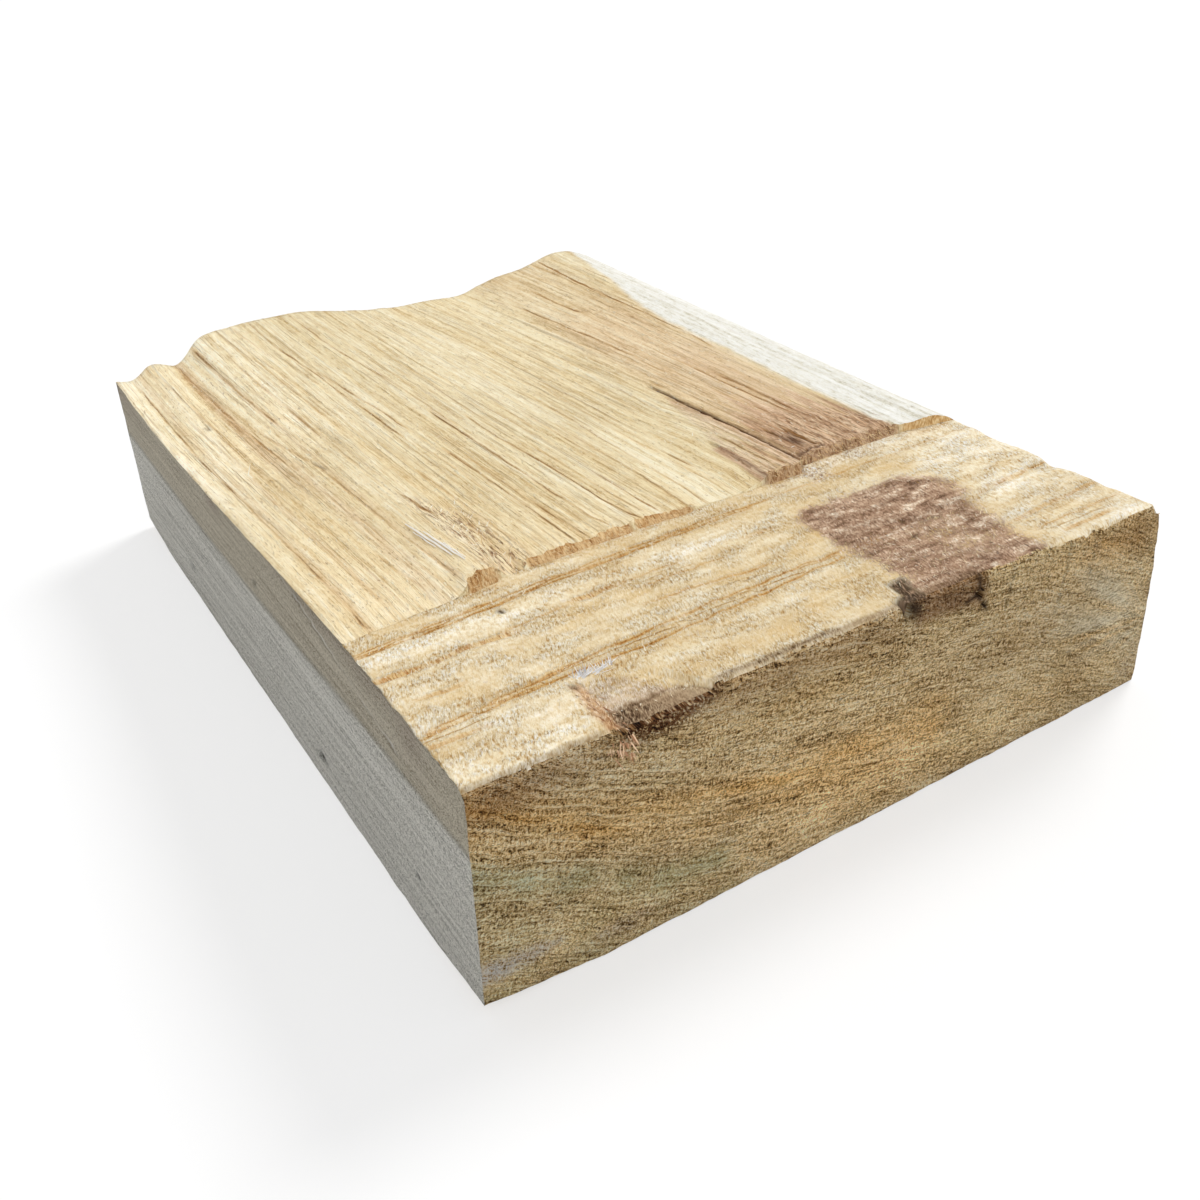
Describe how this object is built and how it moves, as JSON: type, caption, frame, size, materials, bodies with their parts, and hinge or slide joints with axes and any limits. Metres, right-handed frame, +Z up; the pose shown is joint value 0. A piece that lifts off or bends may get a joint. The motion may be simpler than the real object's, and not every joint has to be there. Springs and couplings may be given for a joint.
{
  "type": "timber lumber plank",
  "caption": "Short thick length of rough softwood plank: riven fluted top, sawn band across one end, weathered grey side and a pale waney edge.",
  "frame": {"origin": "middle of the underside, on the surface that the plank lies on", "axes": "+X across the grain towards the waney edge, +Y along the grain from the sawn band to the rear end, +Z up through the thickness"},
  "size_m": [0.254, 0.3048, 0.082],
  "materials": {
    "timber": "rough"
  },
  "bodies": {
    "root": {"timber_plank": "timber"}
  },
  "joints": []
}
